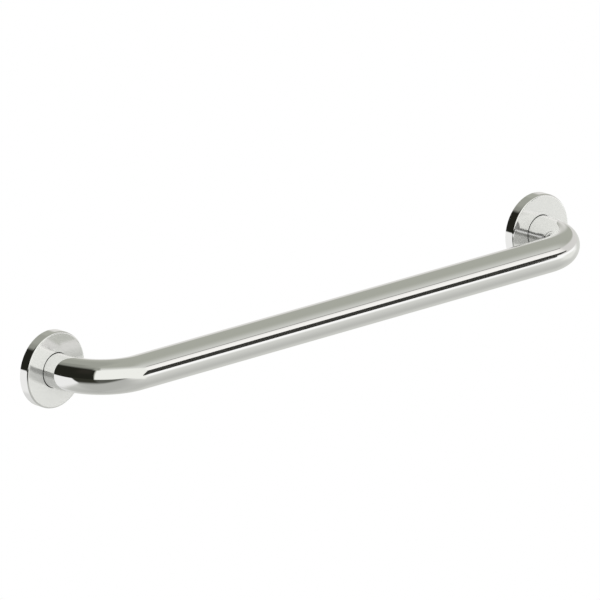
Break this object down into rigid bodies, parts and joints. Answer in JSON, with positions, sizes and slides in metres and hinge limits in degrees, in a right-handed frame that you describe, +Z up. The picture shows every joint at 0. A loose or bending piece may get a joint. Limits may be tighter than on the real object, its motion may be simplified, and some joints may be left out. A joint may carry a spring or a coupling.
{
  "type": "grab bar",
  "caption": "Wall-mounted grab bar: a polished steel tube bent into a straight grip on short legs, welded to round wall flanges under loose covers that slide off the screws.",
  "frame": {"origin": "on the wall plane, midway between the axes of the legs", "axes": "+X along the bar, +Y into the wall that it is screwed to, +Z up when the bar is mounted level"},
  "size_m": [0.681, 0.082, 0.071],
  "materials": {
    "polished_steel": "polished",
    "plain_steel": "satin"
  },
  "bodies": {
    "bar": {"grip_tube": "polished_steel", "left_wall_flange": "plain_steel", "right_wall_flange": "plain_steel"},
    "left_cover": {"left_cover": "polished_steel"},
    "right_cover": {"right_cover": "polished_steel"}
  },
  "joints": [
    {"name": "left_cover_slide", "type": "slide", "parent": "bar", "child": "left_cover", "axis": [0, -1, 0], "range_m": [0, 0.009]},
    {"name": "right_cover_slide", "type": "slide", "parent": "bar", "child": "right_cover", "axis": [0, -1, 0], "range_m": [0, 0.009]}
  ]
}
